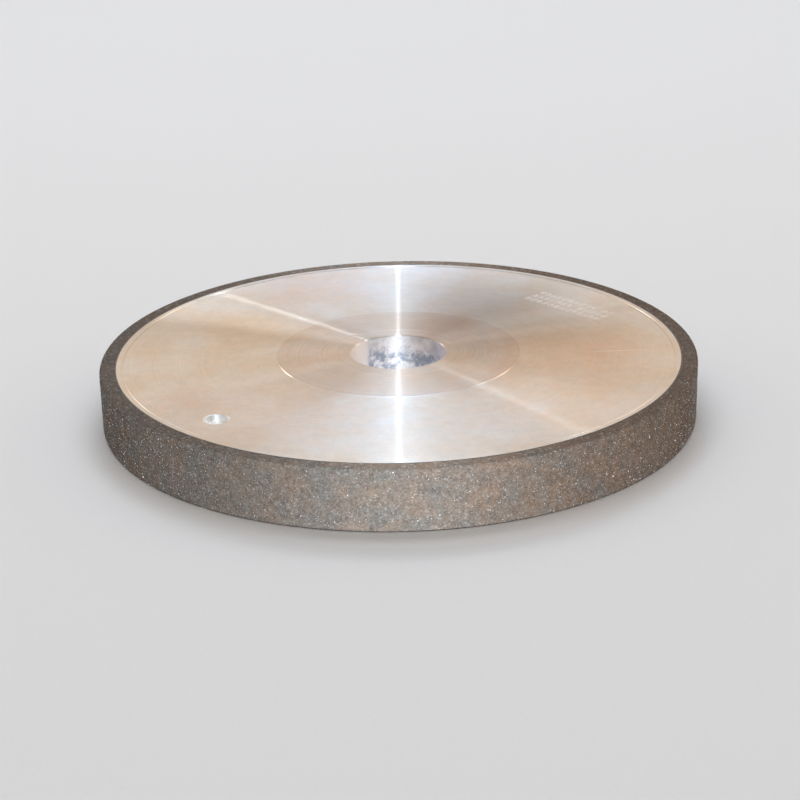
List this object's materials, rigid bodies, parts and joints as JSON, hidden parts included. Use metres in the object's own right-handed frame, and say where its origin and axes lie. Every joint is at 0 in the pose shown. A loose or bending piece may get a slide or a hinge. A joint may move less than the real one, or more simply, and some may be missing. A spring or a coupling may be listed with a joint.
{
  "type": "diamond grinding wheel",
  "caption": "Flat-rimmed diamond grinding wheel: turned aluminium core with a raised mounting boss and plain bore, and a bonded diamond rim for grinding stone.",
  "frame": {"origin": "centre of the wheel's lower face, on its axis", "axes": "+Z along the wheel's axis, out of the face with the balance hole; +X and +Y lie in the lower face, and the balance hole is in the -X, -Y quarter"},
  "size_m": [0.2, 0.2, 0.02],
  "materials": {
    "turned_aluminium": "fine concentric turning marks, satin",
    "plain_bond": "matte, dense and free of grains",
    "diamond_abrasive": "matte, fine-grained, with small glinting crystals"
  },
  "bodies": {
    "root": {"wheel_core": "turned_aluminium", "bond_layer": "plain_bond", "abrasive_rim": "diamond_abrasive"}
  },
  "joints": []
}
